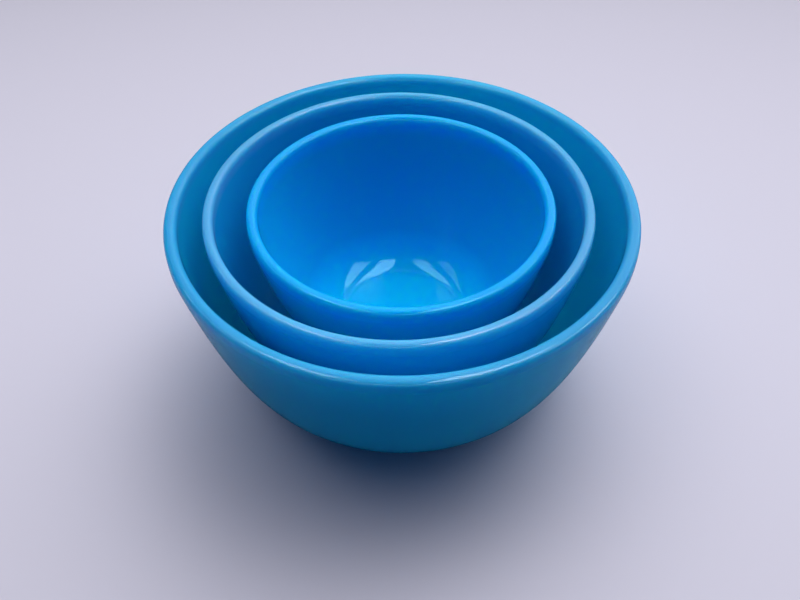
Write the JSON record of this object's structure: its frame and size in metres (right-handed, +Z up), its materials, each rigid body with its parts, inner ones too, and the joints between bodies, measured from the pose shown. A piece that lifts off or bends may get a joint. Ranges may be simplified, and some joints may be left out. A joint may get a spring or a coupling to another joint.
{
  "type": "nest of mixing bowls",
  "caption": "Nest of round mixing bowls in thick glossy opaque blue glass; each bowl rests inside the next larger one and lifts straight out.",
  "frame": {"origin": "on the table, under the centre of the large bowl's foot ring", "axes": "+Z up along the large bowl's axis, out of its mouth; +X and +Y level"},
  "size_m": [0.222, 0.222, 0.101],
  "materials": {
    "large_glass": "opaque blue pressed glass, fire-polished and glossy",
    "medium_glass": "opaque blue pressed glass, fire-polished and glossy",
    "small_glass": "opaque blue pressed glass, fire-polished and glossy"
  },
  "bodies": {
    "large_bowl": {"large_bowl": "large_glass"},
    "medium_bowl": {"medium_bowl": "medium_glass"},
    "small_bowl": {"small_bowl": "small_glass"}
  },
  "joints": [
    {"name": "medium_lift", "type": "slide", "parent": "large_bowl", "child": "medium_bowl", "axis": [0, 0, 1], "range_m": [0, 0.1]},
    {"name": "small_lift", "type": "slide", "parent": "medium_bowl", "child": "small_bowl", "axis": [0, 0, 1], "range_m": [0, 0.092]}
  ]
}
